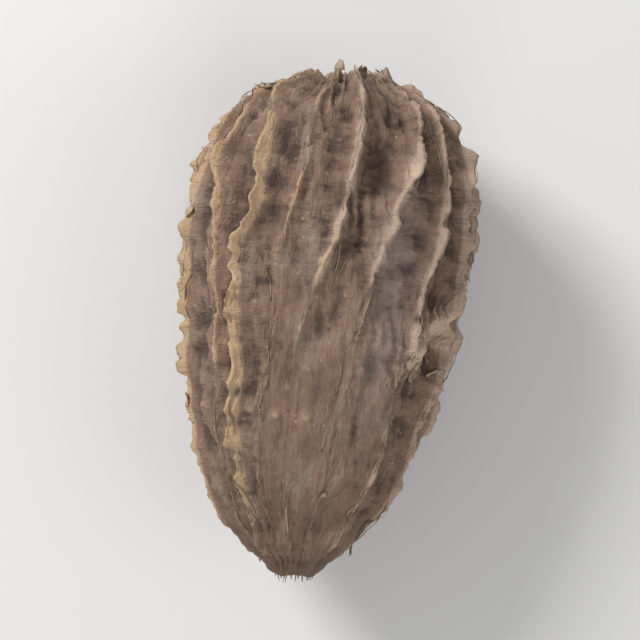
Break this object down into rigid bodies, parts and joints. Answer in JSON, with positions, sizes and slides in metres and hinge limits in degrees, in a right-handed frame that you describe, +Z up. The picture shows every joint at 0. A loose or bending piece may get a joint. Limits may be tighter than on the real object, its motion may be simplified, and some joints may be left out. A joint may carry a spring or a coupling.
{
  "type": "black cardamom pod",
  "caption": "Dried black cardamom pod lying on its side: a brown egg-shaped spice fruit with jagged lengthwise ridges, a ragged calyx ring and a stalk scar.",
  "frame": {"origin": "centre of the pod's footprint, on the surface that it lies on", "axes": "+Z up from the surface; the pod's long axis is along Y, with its stalk end at -Y and its calyx end at +Y"},
  "size_m": [0.021, 0.0362, 0.0182],
  "materials": {
    "husk": "dull, fibrous, wrinkled dried skin with paler ridge crests"
  },
  "bodies": {
    "root": {"pod": "husk"}
  },
  "joints": []
}
